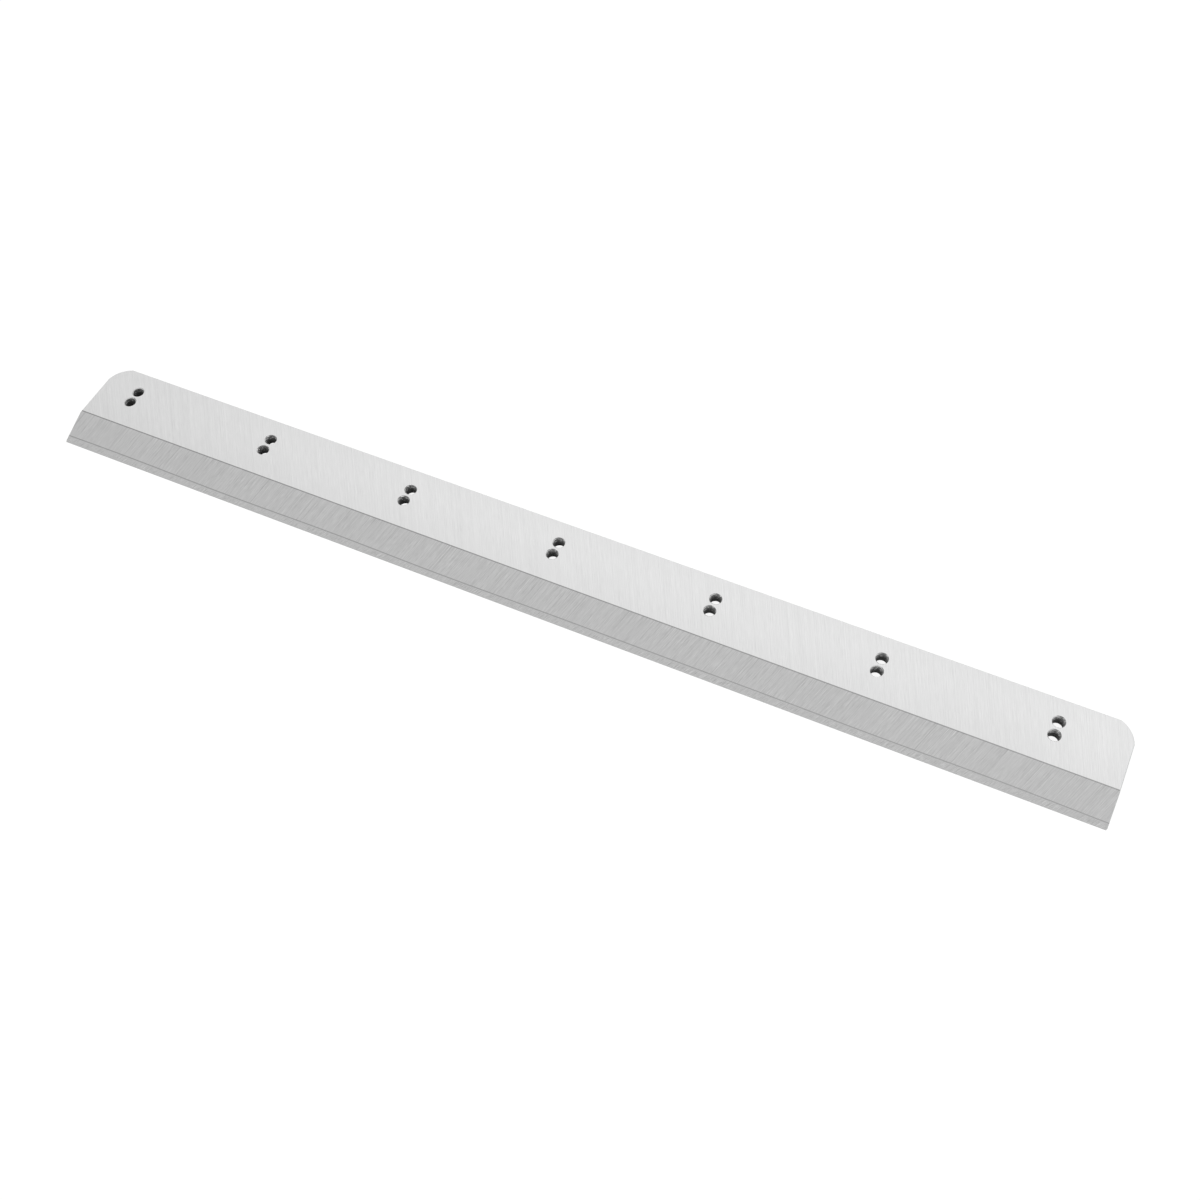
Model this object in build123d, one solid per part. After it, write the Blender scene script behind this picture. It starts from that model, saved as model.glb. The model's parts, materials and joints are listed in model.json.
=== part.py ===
"""Paper cutter blade: a ground steel bar with a brazed-in high-speed steel cutting edge.

The blade lies on its flat lapped side with the bevel facing up. X runs along the blade,
Y runs across it from the cutting edge to the back, and Z is up out of the flat side.
The origin is the middle of the flat side.
"""

from build123d import *
from math import radians, sin, tan
import os

# Blade blank, in millimetres and degrees
blade_length = 665.0
blade_width = 63.3
blade_thickness = 8.0
bevel_angle = 20.8
edge_break = 0.4
edge_break_angle = 45.0

# Back corners: a ground arc that meets the end and the back at a slight angle
corner_run = 10.3
corner_drop = 12.3
corner_bulge = 2.0

# Screw holes, tapped right through in pairs along the bar
pair_count = 7
pair_pitch = 100.0
first_pair_inset = 24.6
back_row_inset = 14.8
row_spacing = 9.0
thread_diameter = 8.0
countersink_depth = 0.3

# High-speed steel inlay, let into the flat side along the cutting edge
inlay_width = 22.0
inlay_thickness = 1.58

# The brazed joint isn't quite flat: height, length and phase of each wave along the blade
joint_waves = (
    (0.061, 139.6, 88.7),
    (0.055, 463.3, -35.9),
    (0.056, 192.7, -23.3),
)
joint_step_count = 48

left_end = -blade_length / 2
right_end = blade_length / 2
cutting_edge = -blade_width / 2
back_edge = blade_width / 2
bevel_run = blade_thickness / tan(radians(bevel_angle))
shoulder = cutting_edge + bevel_run
back_row = back_edge - back_row_inset
thread_radius = thread_diameter / 2


def joint_height(x):
    """Height of the brazed joint above the flat side, at a place along the blade."""
    waves = (rise * sin(radians(360 * x / length + phase)) for rise, length, phase in joint_waves)
    return inlay_thickness + sum(waves)


def bevelled_bar():
    """The bar's section, a plate ground to a knife edge, run along the whole length."""
    section = Polyline(
        (left_end, cutting_edge, 0),
        (left_end, back_edge, 0),
        (left_end, back_edge, blade_thickness),
        (left_end, shoulder, blade_thickness),
        close=True,
    )
    return extrude(make_face(section), blade_length, dir=(1, 0, 0))


def plan_blank():
    """A plate with the blade's outline in plan, arced at the back corners, its rims broken.

    Its front rim lies clear ahead of the cutting edge, so the edge itself stays keen.
    """
    front = cutting_edge - 2 * edge_break
    arc_foot = (right_end, back_edge - corner_drop)
    arc_head = (right_end - corner_run, back_edge)
    right_half = Curve() + [
        Line((0, front), (right_end, front)),
        Line((right_end, front), arc_foot),
        SagittaArc(arc_foot, arc_head, -corner_bulge),
        Line(arc_head, (0, back_edge)),
    ]
    outline = make_face(right_half + mirror(right_half, about=Plane.YZ))
    wall_top = blade_thickness - edge_break
    wall = extrude(Pos(0, 0, edge_break) * outline, wall_top - edge_break)
    top_rim = extrude(Pos(0, 0, wall_top) * outline, edge_break, taper=edge_break_angle)
    bottom_rim = mirror(top_rim, about=Plane.XY.offset(blade_thickness / 2))
    return wall + top_rim + bottom_rim


def screw_hole_places():
    """The centre of every screw hole in plan: each pair has one hole in each row."""
    return [
        (left_end + first_pair_inset + pair * pair_pitch, back_row - row * row_spacing)
        for pair in range(pair_count)
        for row in range(2)
    ]


def drilled_holes():
    """Bores at the thread's outer diameter, countersunk from the flat side."""
    bore = Cylinder(thread_radius, blade_thickness, align=(Align.CENTER, Align.CENTER, Align.MIN))
    mouth = Cone(
        thread_radius + countersink_depth,
        thread_radius,
        countersink_depth,
        align=(Align.CENTER, Align.CENTER, Align.MIN),
    )
    return [Pos(x, y) * (bore + mouth) for x, y in screw_hole_places()]


def finished_blade():
    """The whole blade before it is told apart into its two steels."""
    return (bevelled_bar() & plan_blank()) - drilled_holes()


def inlay_blank():
    """A strip one step longer than the blade at each end, whose top is the wavy brazed joint."""
    step = blade_length / joint_step_count
    places = [left_end + i * step for i in range(-1, joint_step_count + 2)]
    joint_line = [(x, cutting_edge, joint_height(x)) for x in places]
    profile = Polyline(
        (places[0], cutting_edge, 0),
        *joint_line,
        (places[-1], cutting_edge, 0),
        close=True,
    )
    return extrude(make_face(profile), inlay_width, dir=(0, 1, 0))


def main():
    blade = finished_blade()
    strip = inlay_blank()
    nodes = {
        "carrier_bar": blade - strip,
        "cutting_inlay": blade & strip,
    }
    os.makedirs("parts", exist_ok=True)
    for name, shape in nodes.items():
        solid = shape.solid()
        solid.label = name
        export_step(solid, f"parts/{name}.step")


main()
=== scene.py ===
"""A paper cutter blade lying on its flat side on a white table, with its bevel up.

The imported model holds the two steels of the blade. This script grinds their finishes and cuts the
threads of the screw holes, which are too fine for the model.
"""

import json
from math import cos, degrees, pi, radians, tan

import bpy
from mathutils import Euler, Matrix, Vector


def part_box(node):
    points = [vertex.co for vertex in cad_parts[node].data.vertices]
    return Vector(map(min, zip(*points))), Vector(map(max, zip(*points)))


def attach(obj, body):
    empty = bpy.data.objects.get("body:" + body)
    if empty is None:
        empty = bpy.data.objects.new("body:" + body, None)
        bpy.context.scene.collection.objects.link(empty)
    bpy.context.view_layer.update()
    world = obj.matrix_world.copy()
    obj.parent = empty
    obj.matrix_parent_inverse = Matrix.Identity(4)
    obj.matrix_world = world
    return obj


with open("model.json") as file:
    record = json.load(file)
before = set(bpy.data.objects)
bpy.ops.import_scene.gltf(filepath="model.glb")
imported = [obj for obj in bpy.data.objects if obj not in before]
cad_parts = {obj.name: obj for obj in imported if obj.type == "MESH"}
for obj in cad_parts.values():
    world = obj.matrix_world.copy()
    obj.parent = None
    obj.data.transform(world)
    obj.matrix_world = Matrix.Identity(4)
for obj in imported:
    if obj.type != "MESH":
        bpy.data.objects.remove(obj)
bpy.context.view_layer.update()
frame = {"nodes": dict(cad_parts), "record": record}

# Metres in a millimetre: the sizes below are in millimetres and degrees
mm = 0.001

# The blade's sizes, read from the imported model
bar_low, bar_high = (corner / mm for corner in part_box("carrier_bar"))
left_end, right_end = bar_low.x, bar_high.x
back_edge, blade_thickness = bar_high.y, bar_high.z
inlay_low, inlay_high = (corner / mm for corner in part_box("cutting_inlay"))
cutting_edge, inlay_back = inlay_low.y, inlay_high.y

# The bevel and the brazed joint that crosses it: height, length and phase of each of its waves
bevel_angle = 20.8
inlay_thickness = 1.58
joint_waves = (
    (0.061, 139.6, 88.7),
    (0.055, 463.3, -35.9),
    (0.056, 192.7, -23.3),
)
shoulder = cutting_edge + blade_thickness / tan(radians(bevel_angle))

# How far each of the blade's surfaces is tilted from facing up
face_tilt = 0
upper_break_tilt = 45
side_tilt = 90
lower_break_tilt = 135
flat_tilt = 180

# Metric thread of the screw holes. Its ring reaches a little into the bar, clear of both surfaces
thread_pitch = 1.25
thread_root_radius = 3.97
thread_crest_radius = 3.4
crest_flat = 0.4
root_flat = 0.2
thread_steps = 48
flank_tilt = 30
ring_radius = 4.03
ring_drop = 0.005
top_mouth_radius = 3.85
bottom_mouth_radius = 4.3
mouth_tilt = 45

# Points of a mesh that lie closer than this become one
merge_distance = 0.005

# Where each thread starts round its hole, pair by pair from the left, front hole then back hole
thread_starts = (
    (285, 285), (60, 20), (15, 35), (350, 350), (350, 350), (245, 325), (305, 305),
)


def feed(tree, socket, value):
    """Sets a socket to a number or colour, or links it to the socket that gives its value."""
    if isinstance(value, bpy.types.NodeSocket):
        tree.links.new(value, socket)
    else:
        socket.default_value = value


def calc(tree, operation, *values):
    """The result of a Math node on up to three numbers or sockets."""
    node = tree.nodes.new("ShaderNodeMath")
    node.operation = operation
    for socket, value in zip(node.inputs, values):
        feed(tree, socket, value)
    return node.outputs[0]


def smooth_step(tree, value, low, high):
    """0 below low, 1 above high and a soft step between, or the other way if low is the higher."""
    node = tree.nodes.new("ShaderNodeMapRange")
    node.interpolation_type = "SMOOTHSTEP"
    feed(tree, node.inputs["Value"], value)
    node.inputs["From Min"].default_value = low
    node.inputs["From Max"].default_value = high
    return node.outputs[0]


def split(tree, vector):
    """The three parts of a vector."""
    node = tree.nodes.new("ShaderNodeSeparateXYZ")
    feed(tree, node.inputs[0], vector)
    return node.outputs[0], node.outputs[1], node.outputs[2]


def join(tree, x, y, z):
    """A vector made of three parts."""
    node = tree.nodes.new("ShaderNodeCombineXYZ")
    for socket, value in zip(node.inputs, (x, y, z)):
        feed(tree, socket, value)
    return node.outputs[0]


def noise(tree, vector, detail, roughness, scale=1.0):
    """Soft noise about 0, mostly between -0.3 and 0.3, scale lumps for each unit of the vector."""
    middle = 0.5
    node = tree.nodes.new("ShaderNodeTexNoise")
    feed(tree, node.inputs["Vector"], vector)
    node.inputs["Scale"].default_value = scale
    node.inputs["Detail"].default_value = detail
    node.inputs["Roughness"].default_value = roughness
    return calc(tree, "SUBTRACT", node.outputs[0], middle)


def new_group(name, inputs, outputs):
    """An empty shader group: the tree, its input sockets by name and its output sockets by name."""
    tree = bpy.data.node_groups.new(name, "ShaderNodeTree")
    for label, kind in inputs.items():
        tree.interface.new_socket(label, in_out="INPUT", socket_type=kind)
    for label in outputs:
        tree.interface.new_socket(label, in_out="OUTPUT", socket_type="NodeSocketFloat")
    given = tree.nodes.new("NodeGroupInput").outputs
    wanted = tree.nodes.new("NodeGroupOutput").inputs
    return tree, given, wanted


def use_group(tree, group, **values):
    """Places a group in a tree. The keywords are its inputs' names with _ for spaces."""
    node = tree.nodes.new("ShaderNodeGroup")
    node.node_tree = group
    for label, value in values.items():
        feed(tree, node.inputs[label.replace("_", " ").capitalize()], value)
    return node.outputs


def grinding_marks_group():
    """The marks that a grinding wheel leaves: fine lines, long and short, bands and scratches."""
    number = "NodeSocketFloat"
    labels = ("Across", "Along", "Spacing", "Length", "Seed", "Shorts", "Bands")
    tree, given, wanted = new_group("grinding_marks", dict.fromkeys(labels, number), ["Marks"])
    seed = given["Seed"]
    across = calc(tree, "DIVIDE", given["Across"], given["Spacing"])
    along = calc(tree, "DIVIDE", given["Along"], given["Length"])
    fine = noise(tree, join(tree, across, along, seed), detail=4.0, roughness=0.7)

    # Short marks break up the long lines
    shorts_per_length, first_short = 14.0, 57.0
    short_along = calc(tree, "MULTIPLY_ADD", along, shorts_per_length, first_short)
    short = noise(tree, join(tree, across, short_along, seed), detail=3.0, roughness=0.6)

    # The bands are many lines wide and drift slowly along them
    bands_per_line, bands_per_length, first_band = 0.07, 5.0, 7.3
    band_across = calc(tree, "MULTIPLY", across, bands_per_line)
    band_along = calc(tree, "MULTIPLY_ADD", along, bands_per_length, first_band)
    bands = noise(tree, join(tree, band_across, band_along, seed), detail=2.0, roughness=0.6)

    # The scratches are the peaks of a second set of long lines
    scratches_per_line, scratches_per_length, first_scratch, scratch_weight = 0.8, 1.5, 31.0, -0.2
    scratch_foot, scratch_peak = 0.14, 0.24
    scratch_across = calc(tree, "MULTIPLY_ADD", across, scratches_per_line, first_scratch)
    scratch_along = calc(tree, "MULTIPLY", along, scratches_per_length)
    peaks = noise(tree, join(tree, scratch_across, scratch_along, seed), detail=1.0, roughness=0.5)
    scratches = smooth_step(tree, peaks, scratch_foot, scratch_peak)

    # All of them show more boldly in some patches than in others
    patches_per_line, patches_per_length, first_patch, patch_weight = 0.03, 7.0, 83.0, 1.6
    patch_across = calc(tree, "MULTIPLY_ADD", across, patches_per_line, first_patch)
    patch_along = calc(tree, "MULTIPLY", along, patches_per_length)
    patches = noise(tree, join(tree, patch_across, patch_along, seed), detail=1.0, roughness=0.5)
    boldness = calc(tree, "MULTIPLY_ADD", patches, patch_weight, 1.0)

    lines = calc(tree, "MULTIPLY_ADD", short, given["Shorts"], fine)
    lines = calc(tree, "MULTIPLY_ADD", scratches, scratch_weight, lines)
    lines = calc(tree, "MULTIPLY", lines, boldness)
    marks = calc(tree, "MULTIPLY_ADD", bands, given["Bands"], lines)
    feed(tree, wanted["Marks"], marks)
    return tree


def mark_fan_group():
    """Turns a place on a surface into the distance across and along marks that fan out over it.

    The marks are straight and all come from one centre, far in front of the blade. Distances across
    them are those at the blade's middle, where y is 0.
    """
    number = "NodeSocketFloat"
    inputs = {"X": number, "Y": number, "Centre x": number, "Centre y": number}
    tree, given, wanted = new_group("mark_fan", inputs, ["Across", "Along"])
    sideways = calc(tree, "SUBTRACT", given["X"], given["Centre x"])
    back = calc(tree, "SUBTRACT", given["Y"], given["Centre y"])
    tangent = calc(tree, "DIVIDE", sideways, back)
    reach = calc(tree, "MULTIPLY", given["Centre y"], -1.0)
    feed(tree, wanted["Across"], calc(tree, "MULTIPLY", tangent, reach))
    feed(tree, wanted["Along"], back)
    return tree


def brazed_joint_group():
    """A fine line where the inlay's rim meets the bar, on whichever surface it is seen."""
    inputs = {"Place": "NodeSocketVector", "Half width": "NodeSocketFloat"}
    tree, given, wanted = new_group("brazed_joint", inputs, ["Line"])
    x, y, z = split(tree, given["Place"])
    height = inlay_thickness
    for rise, length, phase in joint_waves:
        angle = calc(tree, "MULTIPLY_ADD", x, 2 * pi / length, radians(phase))
        height = calc(tree, "MULTIPLY_ADD", calc(tree, "SINE", angle), rise, height)
    above = calc(tree, "SUBTRACT", z, height)
    behind = calc(tree, "SUBTRACT", y, inlay_back)
    gap = calc(tree, "ABSOLUTE", calc(tree, "MAXIMUM", above, behind))
    share = calc(tree, "DIVIDE", gap, given["Half width"])
    line_core = 0.35
    feed(tree, wanted["Line"], smooth_step(tree, share, 1.0, line_core))
    return tree


def surface_facts(tree):
    """The place on the blade in millimetres, and how many degrees the surface is tilted from level.

    A surface that faces up has no tilt, an upright one 90 degrees and one that faces down 180.
    """
    coordinates = tree.nodes.new("ShaderNodeTexCoord")
    place = tree.nodes.new("ShaderNodeVectorMath")
    place.operation = "SCALE"
    feed(tree, place.inputs[0], coordinates.outputs["Object"])
    place.inputs["Scale"].default_value = 1 / mm
    normal = tree.nodes.new("ShaderNodeNewGeometry").outputs["True Normal"]
    turn = calc(tree, "ARCCOSINE", split(tree, normal)[2])
    return place.outputs[0], calc(tree, "MULTIPLY", turn, degrees(1))


def tilted(tree, tilt, wanted, spread=7.5):
    """1 where the surface is tilted by about the wanted degrees, and 0 elsewhere."""
    return calc(tree, "COMPARE", tilt, wanted, spread)


class Finish:
    """One way a surface is finished: its grey, its roughness and how much its marks show."""

    def __init__(self, grey, contrast, roughness, roughness_contrast):
        self.grey = grey
        self.contrast = contrast
        self.roughness = roughness
        self.roughness_contrast = roughness_contrast


class Grind:
    """The marks of one grinding pass: their spacing and length in millimetres, and a seed.

    Shorts and bands say how boldly short marks and broad bands show among the fine lines.
    """

    def __init__(self, spacing, length, seed, shorts, bands):
        self.spacing = spacing
        self.length = length
        self.seed = seed
        self.shorts = shorts
        self.bands = bands


def lay_finishes(tree, finishes):
    """The grey, roughness and marks of several finishes, each laid where its mask is 1."""
    grey, roughness, marks_shown = 0.0, 0.0, 0.0
    for finish, mask, marks in finishes:
        tone = calc(tree, "MULTIPLY_ADD", marks, finish.grey * finish.contrast, finish.grey)
        grey = calc(tree, "MULTIPLY_ADD", tone, mask, grey)
        gloss = calc(tree, "MULTIPLY_ADD", marks, finish.roughness_contrast, finish.roughness)
        roughness = calc(tree, "MULTIPLY_ADD", gloss, mask, roughness)
        marks_shown = calc(tree, "MULTIPLY_ADD", marks, mask, marks_shown)
    return grey, roughness, marks_shown


def steel_shader(tree, grey, roughness, height, relief):
    """Bare steel with fine relief, given its height in marks and its depth in millimetres."""
    shader = tree.nodes.new("ShaderNodeBsdfPrincipled")
    shader.inputs["Metallic"].default_value = 1.0
    feed(tree, shader.inputs["Base Color"], grey)
    feed(tree, shader.inputs["Roughness"], roughness)
    bump = tree.nodes.new("ShaderNodeBump")
    bump.inputs["Strength"].default_value = 1.0
    bump.inputs["Distance"].default_value = relief * mm
    feed(tree, bump.inputs["Height"], height)
    feed(tree, shader.inputs["Normal"], bump.outputs[0])
    output = tree.nodes.new("ShaderNodeOutputMaterial")
    tree.links.new(shader.outputs[0], output.inputs[0])


def new_material(name):
    """An empty node material and its tree."""
    material = bpy.data.materials.new(name)
    material.use_nodes = True
    material.node_tree.nodes.clear()
    return material, material.node_tree


def find_screw_holes():
    """Centres of the screw holes in millimetres, pair by pair from the left, front hole first."""
    centres = set()
    for mount in frame["record"]["mounts"]:
        if mount["kind"] == "bolt_pattern":
            middle = Vector(mount["pos_m"]) / mm
            half_x = mount["dims"].get("spacing_x_mm", 0) / 2
            half_y = mount["dims"]["spacing_y_mm"] / 2
            for x in (middle.x - half_x, middle.x + half_x):
                for y in (middle.y - half_y, middle.y + half_y):
                    centres.add((round(x, 3), round(y, 3)))
    return sorted(centres)


screw_holes = find_screw_holes()
grinding_marks = grinding_marks_group()
mark_fan = mark_fan_group()
brazed_joint = brazed_joint_group()

# Finishes: grey, share of it that the marks change, roughness and how far they change it
face_ground = Finish(0.670, 0.39, 0.46, 0.20)
# The bevel's grey is darker than the face's, partly as painted shade for the dimmer reflection it
# catches
bevel_ground_and_painted_shade = Finish(0.522, 0.85, 0.44, 0.25)
inlay_ground = Finish(0.504, 1.45, 0.42, 0.25)
side_ground = Finish(0.52, 0.60, 0.42, 0.15)
edge_broken = Finish(0.58, 0.30, 0.34, 0.10)
flat_lapped = Finish(0.60, 0.36, 0.32, 0.15)
flat_inlay_lapped = Finish(0.57, 0.36, 0.30, 0.15)
mouth_cut = Finish(0.55, 0.30, 0.40, 0.10)
# The cut thread's grey is dark as painted shade inside the holes
thread_cut_painted_dark = Finish(0.16, 1.00, 0.30, 0.20)

# Grinding passes: spacing and length of the marks, a seed, short marks and bands
face_grind = Grind(0.36, 100.0, 1.0, 0.75, 0.25)
bevel_grind = Grind(0.45, 70.0, 2.0, 0.60, 0.04)
inlay_grind = Grind(0.37, 45.0, 5.0, 0.75, 0.02)
side_grind = Grind(0.5, 30.0, 3.0, 0.65, 0.20)
flat_grind = Grind(0.6, 40.0, 4.0, 0.65, 0.20)
thread_chatter = Grind(1.2, 2.5, 8.0, 0.65, 0.20)

# The centres that the straight marks fan out from, in the plane of each surface: x and y
face_fan = (756.0, -1343.0)
bevel_fan = (-1566.0, -4655.0)
inlay_fan = (-5900.0, -8850.0)

# Dark lines: the brazed joint, and a painted shade along the ridge between the bevel and the face,
# which stands in for the dark reflection of its edge and lies a little behind it. Their two shades
# are those at the blade's left end and at its right end, where they are fainter
joint_half_width = 0.14
joint_shades = (0.41, 0.31)
ridge_half_width = 0.52
ridge_core = 0.1
ridge_set_back = 0.06
ridge_painted_shades = (0.585, 0.475)

# Painted light and shade on the face, for the studio's reflection: it is a shade darker along the
# ridge and along the back than it is between them, and a shade lighter towards its right end
face_front_painted_shade = 0.031
face_front_width = 26.0
face_back_painted_shade = 0.008
face_back_width = 12.0
face_end_painted_light = 0.043
face_end_width = 78.0

# Depth of the fine relief on ground and on threaded steel
ground_relief = 0.004
thread_relief = 0.01


def lay_marks(tree, grind, across, along):
    """The marks of one pass, given the distances across and along them."""
    return use_group(
        tree, grinding_marks, across=across, along=along,
        spacing=grind.spacing, length=grind.length, seed=grind.seed,
        shorts=grind.shorts, bands=grind.bands,
    )["Marks"]


def fanned_marks(tree, place, tilt, fan, grind):
    """Marks that fan out over a surface that rises to the back with that tilt in degrees."""
    x, y, _ = split(tree, place)
    rise = calc(tree, "DIVIDE", y, cos(radians(tilt)))
    rays = use_group(tree, mark_fan, x=x, y=rise, centre_x=fan[0], centre_y=fan[1])
    return lay_marks(tree, grind, rays["Across"], rays["Along"])


def flat_marks(tree, place):
    """The marks on the flat side, which are laid out as on the face above it."""
    return fanned_marks(tree, place, face_tilt, face_fan, flat_grind)


def side_marks(tree, place, grind):
    """Marks that run lengthwise round the blade's narrow sides."""
    x, y, z = split(tree, place)
    return lay_marks(tree, grind, z, calc(tree, "ADD", x, y))


def face_painted_light_and_shade(tree, place):
    """The share by which the face is painted lighter here than behind its middle, or painted darker
    if negative.
    """
    x, y, _ = split(tree, place)
    front = smooth_step(tree, y, shoulder + face_front_width, shoulder)
    back = smooth_step(tree, y, back_edge - face_back_width, back_edge)
    end = smooth_step(tree, x, right_end - face_end_width, right_end)
    painted_change = calc(tree, "MULTIPLY", front, -face_front_painted_shade)
    painted_change = calc(tree, "MULTIPLY_ADD", back, -face_back_painted_shade, painted_change)
    return calc(tree, "MULTIPLY_ADD", end, face_end_painted_light, painted_change)


def line_and_painted_shade_drawn(tree, grey, place, line, shades):
    """The grey with a dark line drawn through it, whose shade changes evenly from end to end. It
    draws both the brazed joint's line and the painted shade along the ridge.
    """
    shade = tree.nodes.new("ShaderNodeMapRange")
    feed(tree, shade.inputs["Value"], split(tree, place)[0])
    ranges = {"From Min": left_end, "From Max": right_end, "To Min": shades[0], "To Max": shades[1]}
    for label, value in ranges.items():
        shade.inputs[label].default_value = value
    kept = calc(tree, "SUBTRACT", 1.0, calc(tree, "MULTIPLY", line, shade.outputs[0]))
    return calc(tree, "MULTIPLY", grey, kept)


def joint_drawn(tree, grey, place):
    """The grey with the brazed joint's fine dark line drawn through it."""
    line = use_group(tree, brazed_joint, place=place, half_width=joint_half_width)["Line"]
    return line_and_painted_shade_drawn(tree, grey, place, line, joint_shades)


def ridge_painted_shade(tree, place, top):
    """A painted shade along the ridge, for the dark reflection of its edge, which lies on both of
    the surfaces that meet there.
    """
    off_line = calc(tree, "SUBTRACT", split(tree, place)[1], shoulder + ridge_set_back)
    line = smooth_step(tree, calc(tree, "ABSOLUTE", off_line), ridge_half_width, ridge_core)
    return calc(tree, "MULTIPLY", line, top)


def carrier_steel():
    """The bar: ground face and bevel, ground sides, broken edges and a lapped flat side."""
    material, tree = new_material("carrier_steel_ground")
    place, tilt = surface_facts(tree)
    bevel = tilted(tree, tilt, bevel_angle)
    face = tilted(tree, tilt, face_tilt)
    upper_break = tilted(tree, tilt, upper_break_tilt)
    broken = calc(tree, "ADD", upper_break, tilted(tree, tilt, lower_break_tilt))
    narrow_marks = side_marks(tree, place, side_grind)
    grey, roughness, height = lay_finishes(tree, (
        (face_ground, face, fanned_marks(tree, place, face_tilt, face_fan, face_grind)),
        (bevel_ground_and_painted_shade, bevel, fanned_marks(tree, place, bevel_angle, bevel_fan, bevel_grind)),
        (edge_broken, broken, narrow_marks),
        (side_ground, tilted(tree, tilt, side_tilt), narrow_marks),
        (flat_lapped, tilted(tree, tilt, flat_tilt), flat_marks(tree, place)),
    ))
    # The face's painted light and shade
    painted_tone = calc(tree, "MULTIPLY_ADD", face_painted_light_and_shade(tree, place), face, 1.0)
    grey = calc(tree, "MULTIPLY", grey, painted_tone)
    # Painted shade along the ridge, for the dark reflection of its edge
    ridge = ridge_painted_shade(tree, place, calc(tree, "ADD", bevel, face))
    grey = line_and_painted_shade_drawn(tree, grey, place, ridge, ridge_painted_shades)
    steel_shader(tree, joint_drawn(tree, grey, place), roughness, height, ground_relief)
    return material


def high_speed_steel():
    """The inlay: close, bold marks on its bevel, ground ends and a lapped flat side."""
    material, tree = new_material("high_speed_steel_ground")
    place, tilt = surface_facts(tree)
    bevel = tilted(tree, tilt, bevel_angle)
    narrow_marks = side_marks(tree, place, side_grind)
    grey, roughness, height = lay_finishes(tree, (
        (inlay_ground, bevel, fanned_marks(tree, place, bevel_angle, inlay_fan, inlay_grind)),
        (side_ground, tilted(tree, tilt, side_tilt), narrow_marks),
        (edge_broken, tilted(tree, tilt, lower_break_tilt), narrow_marks),
        (flat_inlay_lapped, tilted(tree, tilt, flat_tilt), flat_marks(tree, place)),
    ))
    steel_shader(tree, joint_drawn(tree, grey, place), roughness, height, ground_relief)
    return material


def painted_glints(tree, place):
    """Painted glints on the upper flanks of the threads: brightest at the mouth, and only in spots.
    """
    lit_from, spots_per_mm, spot_height = 2.0, 0.6, 9.8
    spot_edge, spot_core, spot_gain, dull = 0.0, 0.2, 2.5, 0.35
    x, y, z = split(tree, place)
    lit = smooth_step(tree, z, lit_from, blade_thickness)
    lump = join(tree, x, y, calc(tree, "ADD", z, spot_height))
    lumps = noise(tree, lump, detail=1.0, roughness=0.5, scale=spots_per_mm)
    spots = smooth_step(tree, lumps, spot_edge, spot_core)
    return calc(tree, "MULTIPLY", lit, calc(tree, "MULTIPLY_ADD", spots, spot_gain, dull))


def thread_steel():
    """The tapped holes: a cut mouth, and a thread with painted shade deep inside, painted light
    near its mouth and painted glints on it.
    """
    material, tree = new_material("tapped_thread")
    place, tilt = surface_facts(tree)
    # Painted shade deep in the thread, and painted light over its top few millimetres
    deep_shade, mouth_light, light_depth = 0.13, 0.8, 4.0
    level = tilted(tree, tilt, face_tilt)
    mouth = tilted(tree, tilt, mouth_tilt)
    cut = calc(tree, "SUBTRACT", calc(tree, "SUBTRACT", 1.0, level), mouth)
    # Painted glints on the upper flanks, then the painted light and shade by depth
    shine = calc(tree, "MULTIPLY", tilted(tree, tilt, flank_tilt), painted_glints(tree, place))
    light = smooth_step(tree, split(tree, place)[2], blade_thickness - light_depth, blade_thickness)
    shine = calc(tree, "ADD", shine, calc(tree, "MULTIPLY_ADD", light, mouth_light, deep_shade))
    face_marks = fanned_marks(tree, place, face_tilt, face_fan, face_grind)
    grey, roughness, height = lay_finishes(tree, (
        (face_ground, level, face_marks),
        (mouth_cut, mouth, face_marks),
        (thread_cut_painted_dark, cut, side_marks(tree, place, thread_chatter)),
    ))
    # Only the cut thread takes the painted light and shade
    painted_light_on_cut = calc(tree, "MAXIMUM", shine, calc(tree, "SUBTRACT", 1.0, cut))
    grey = calc(tree, "MULTIPLY", grey, painted_light_on_cut)
    steel_shader(tree, grey, roughness, height, thread_relief)
    return material


def select_none():
    """Deselects every object."""
    bpy.ops.object.select_all(action="DESELECT")


def apply_modifiers(piece):
    """Applies every modifier of a piece, in order."""
    bpy.context.view_layer.objects.active = piece
    for modifier in list(piece.modifiers):
        bpy.ops.object.modifier_apply(modifier=modifier.name)


def select_vertices(piece, wanted):
    """In edit mode, selects only the vertices whose place passes a test."""
    bpy.ops.mesh.select_all(action="DESELECT")
    bpy.ops.object.mode_set(mode="OBJECT")
    for vertex in piece.data.vertices:
        vertex.select = wanted(vertex.co)
    bpy.ops.object.mode_set(mode="EDIT")


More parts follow.
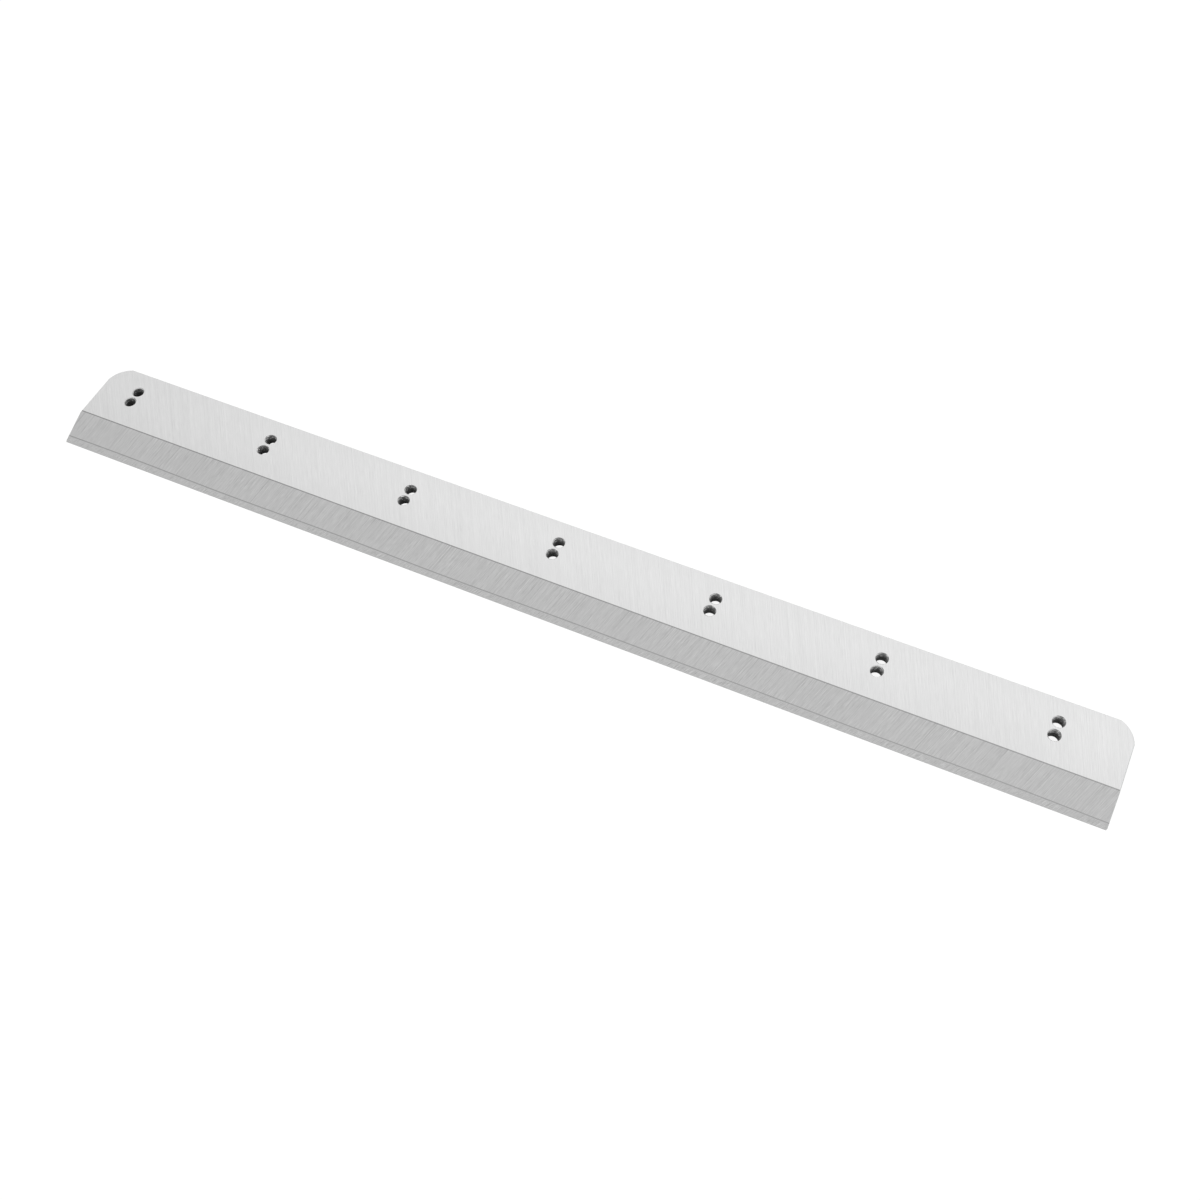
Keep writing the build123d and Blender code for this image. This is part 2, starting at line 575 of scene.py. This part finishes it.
def thread_profile():
    """One pitch of the thread as a line: a flank, the root flat, a flank and the crest flat."""
    depth = thread_root_radius - thread_crest_radius
    foot = thread_pitch - crest_flat
    middle = (thread_root_radius + thread_crest_radius) / 2
    bpy.ops.mesh.primitive_plane_add(size=1, location=(0, 0, 0), rotation=(pi / 2, 0, 0))
    profile = bpy.context.object
    profile.scale = (depth * mm, foot * mm, 1)
    profile.location = (middle * mm, 0, -thread_pitch * mm)
    bpy.ops.object.transform_apply()
    bpy.ops.object.mode_set(mode="EDIT")
    bpy.ops.mesh.delete(type="ONLY_FACE")
    select_vertices(profile, lambda place: place.x > middle * mm)
    bpy.ops.transform.resize(value=(1, 1, root_flat / foot))
    select_vertices(profile, lambda place: place.x < middle * mm)
    bpy.ops.mesh.select_mode(type="EDGE")
    bpy.ops.mesh.delete(type="EDGE_FACE")
    bpy.ops.mesh.select_mode(type="VERT")
    level = -thread_pitch * mm
    select_vertices(profile, lambda place: place.x < middle * mm and place.z > level)
    bpy.ops.mesh.extrude_region_move(TRANSFORM_OT_translate={"value": (0, 0, crest_flat * mm)})
    bpy.ops.object.mode_set(mode="OBJECT")
    return profile


def thread_tap():
    """The screw form that the thread is cut with, longer than the bore at both ends."""
    spare_turns, overrun = 4, 0.5
    tap = thread_profile()
    sweep = tap.modifiers.new("Sweep", "SCREW")
    sweep.screw_offset = thread_pitch * mm
    sweep.iterations = int(blade_thickness / thread_pitch) + spare_turns
    sweep.steps = thread_steps
    sweep.render_steps = thread_steps
    sweep.use_merge_vertices = True
    sweep.merge_threshold = merge_distance * mm
    apply_modifiers(tap)

    bpy.ops.object.mode_set(mode="EDIT")
    bpy.ops.mesh.select_all(action="SELECT")
    bpy.ops.mesh.remove_doubles(threshold=merge_distance * mm)
    for level, side in ((-overrun, -1), (blade_thickness + overrun, 1)):
        bpy.ops.mesh.select_all(action="SELECT")
        bpy.ops.mesh.bisect(
            plane_co=(0, 0, level * mm), plane_no=(0, 0, side), use_fill=True, clear_outer=True
        )
    bpy.ops.mesh.select_all(action="SELECT")
    bpy.ops.mesh.normals_make_consistent(inside=False)
    bpy.ops.object.mode_set(mode="OBJECT")
    return tap


def mouth_cutter(radius, level, side):
    """A cone that breaks the thread's first turn at one mouth of the hole, at 45 degrees."""
    reach, tip_radius = 0.3, 0.5
    depth = radius + reach - tip_radius
    bpy.ops.mesh.primitive_cone_add(
        vertices=thread_steps,
        radius1=(radius + reach) * mm, radius2=tip_radius * mm, depth=depth * mm,
        location=(0, 0, (level + side * (reach - depth / 2)) * mm),
        rotation=(pi if side > 0 else 0, 0, 0),
    )
    cutter = bpy.context.object
    bpy.ops.object.transform_apply()
    return cutter


def thread_ring():
    """The thread of one hole: a ring that fills the bore's wall, cut by the tap and the mouths."""
    crease_angle = 25
    height = blade_thickness - 2 * ring_drop
    bpy.ops.mesh.primitive_cylinder_add(
        vertices=2 * thread_steps, radius=ring_radius * mm, depth=height * mm,
        location=(0, 0, blade_thickness / 2 * mm),
    )
    ring = bpy.context.object
    bpy.ops.object.transform_apply()
    cutters = (
        thread_tap(),
        mouth_cutter(top_mouth_radius, blade_thickness, 1),
        mouth_cutter(bottom_mouth_radius, 0, -1),
    )
    for cutter in cutters:
        cut = ring.modifiers.new("Cut", "BOOLEAN")
        cut.operation = "DIFFERENCE"
        cut.solver = "EXACT"
        cut.object = cutter
    select_none()
    ring.select_set(True)
    apply_modifiers(ring)
    bpy.ops.object.mode_set(mode="EDIT")
    bpy.ops.mesh.select_all(action="SELECT")
    bpy.ops.mesh.remove_doubles(threshold=merge_distance * mm)
    bpy.ops.object.mode_set(mode="OBJECT")
    bpy.ops.object.shade_smooth_by_angle(angle=radians(crease_angle))
    for cutter in cutters:
        bpy.data.objects.remove(cutter)
    return ring


def thread_screw_holes(material):
    """A ring of thread in every screw hole, each turned to its own start."""
    model = thread_ring()
    model.data.materials.append(material)
    starts = [start for pair in thread_starts for start in pair]
    for number, ((x, y), start) in enumerate(zip(screw_holes, starts)):
        side = "back" if number % 2 else "front"
        piece = model.copy()
        piece.data = model.data.copy()
        piece.name = f"thread_{number // 2 + 1}_{side}"
        piece.data.name = piece.name
        place = Matrix.Translation(Vector((x, y, 0)) * mm)
        piece.data.transform(place @ Matrix.Rotation(radians(start), 4, "Z"))
        bpy.context.scene.collection.objects.link(piece)
        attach(piece, "root")
    bpy.data.objects.remove(model)


def dress(node, material):
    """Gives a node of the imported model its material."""
    piece = frame["nodes"][node]
    piece.data.materials.clear()
    piece.data.materials.append(material)


def matt(tree, grey):
    """A matt shader of one grey."""
    shader = tree.nodes.new("ShaderNodeBsdfDiffuse")
    shader.inputs["Color"].default_value = (grey, grey, grey, 1)
    return shader.outputs[0]


def either(tree, switch, off, on):
    """The first shader where the switch is 0, and the second where it is 1."""
    mix = tree.nodes.new("ShaderNodeMixShader")
    for socket, value in zip(mix.inputs, (switch, off, on)):
        feed(tree, socket, value)
    return mix.outputs[0]


def table_white():
    """The table's surface, which glows white but shows a faint shadow, and is clear from below."""
    glow_strength, shadow_grey, paint_grey = 0.92, 0.12, 0.8
    material, tree = new_material("white_table")
    rays = tree.nodes.new("ShaderNodeLightPath").outputs
    seen = calc(tree, "MAXIMUM", rays["Is Camera Ray"], rays["Is Glossy Ray"])
    seen = calc(tree, "MAXIMUM", seen, rays["Is Transmission Ray"])
    glow = tree.nodes.new("ShaderNodeEmission")
    glow.inputs["Strength"].default_value = glow_strength
    white = tree.nodes.new("ShaderNodeAddShader")
    feed(tree, white.inputs[0], glow.outputs[0])
    feed(tree, white.inputs[1], matt(tree, shadow_grey))
    top = either(tree, seen, matt(tree, paint_grey), white.outputs[0])
    below = tree.nodes.new("ShaderNodeNewGeometry").outputs["Backfacing"]
    clear = tree.nodes.new("ShaderNodeBsdfTransparent")
    output = tree.nodes.new("ShaderNodeOutputMaterial")
    feed(tree, output.inputs[0], either(tree, below, top, clear.outputs[0]))
    return material


def white_table():
    """A wide white table just under the blade."""
    table_size, table_gap = 24, 0.05 * mm
    select_none()
    bpy.ops.mesh.primitive_plane_add(size=table_size, location=(0, 0, -table_gap))
    floor = bpy.context.object
    floor.name = "table"
    bpy.ops.object.transform_apply()
    floor.data.materials.append(table_white())


def white_surroundings():
    """A white studio all round, which lights the blade a little less from the left."""
    side_falloff = 0.10
    world = bpy.data.worlds.new("white_studio")
    world.use_nodes = True
    tree = world.node_tree
    direction = tree.nodes.new("ShaderNodeTexCoord").outputs["Generated"]
    seen = tree.nodes.new("ShaderNodeLightPath").outputs["Is Camera Ray"]
    falloff = calc(tree, "MULTIPLY", calc(tree, "SUBTRACT", 1.0, seen), side_falloff)
    brightness = calc(tree, "MULTIPLY_ADD", split(tree, direction)[0], falloff, 1.0)
    tree.nodes["Background"].inputs["Color"].default_value = (1, 1, 1, 1)
    feed(tree, tree.nodes["Background"].inputs["Strength"], brightness)
    bpy.context.scene.world = world


def back_soft_box():
    """A soft box behind and above the blade, which lights its face."""
    box_length, box_width, box_power = 2.2, 1.0, 3.0
    box_place, box_target = Vector((-0.30, 1.25, 1.50)), Vector((-0.22, 0, 0))
    light = bpy.data.lights.new("back_soft_box", "AREA")
    light.shape = "RECTANGLE"
    light.size, light.size_y = box_length, box_width
    light.energy = box_power
    lamp = bpy.data.objects.new("back_soft_box", light)
    lamp.location = box_place
    lamp.rotation_euler = (box_target - box_place).to_track_quat("-Z", "Y").to_euler()
    bpy.context.scene.collection.objects.link(lamp)


def camera():
    """The photograph's view: down onto the blade from the front, right of its middle."""
    sensor_width, focal_length = 36.0, 46.354
    place, turns = (0.26468, -0.45771, 0.73887), (34.5636, 1.7698, 24.9594)
    lens = bpy.data.cameras.new("camera")
    lens.sensor_width = sensor_width
    lens.lens = focal_length
    viewer = bpy.data.objects.new("camera", lens)
    viewer.location = place
    viewer.rotation_euler = Euler([radians(turn) for turn in turns])
    bpy.context.scene.collection.objects.link(viewer)
    bpy.context.scene.camera = viewer


camera()
white_surroundings()
back_soft_box()
white_table()
dress("carrier_bar", carrier_steel())
dress("cutting_inlay", high_speed_steel())
thread_screw_holes(thread_steel())
bpy.context.scene.view_settings.view_transform = "Standard"
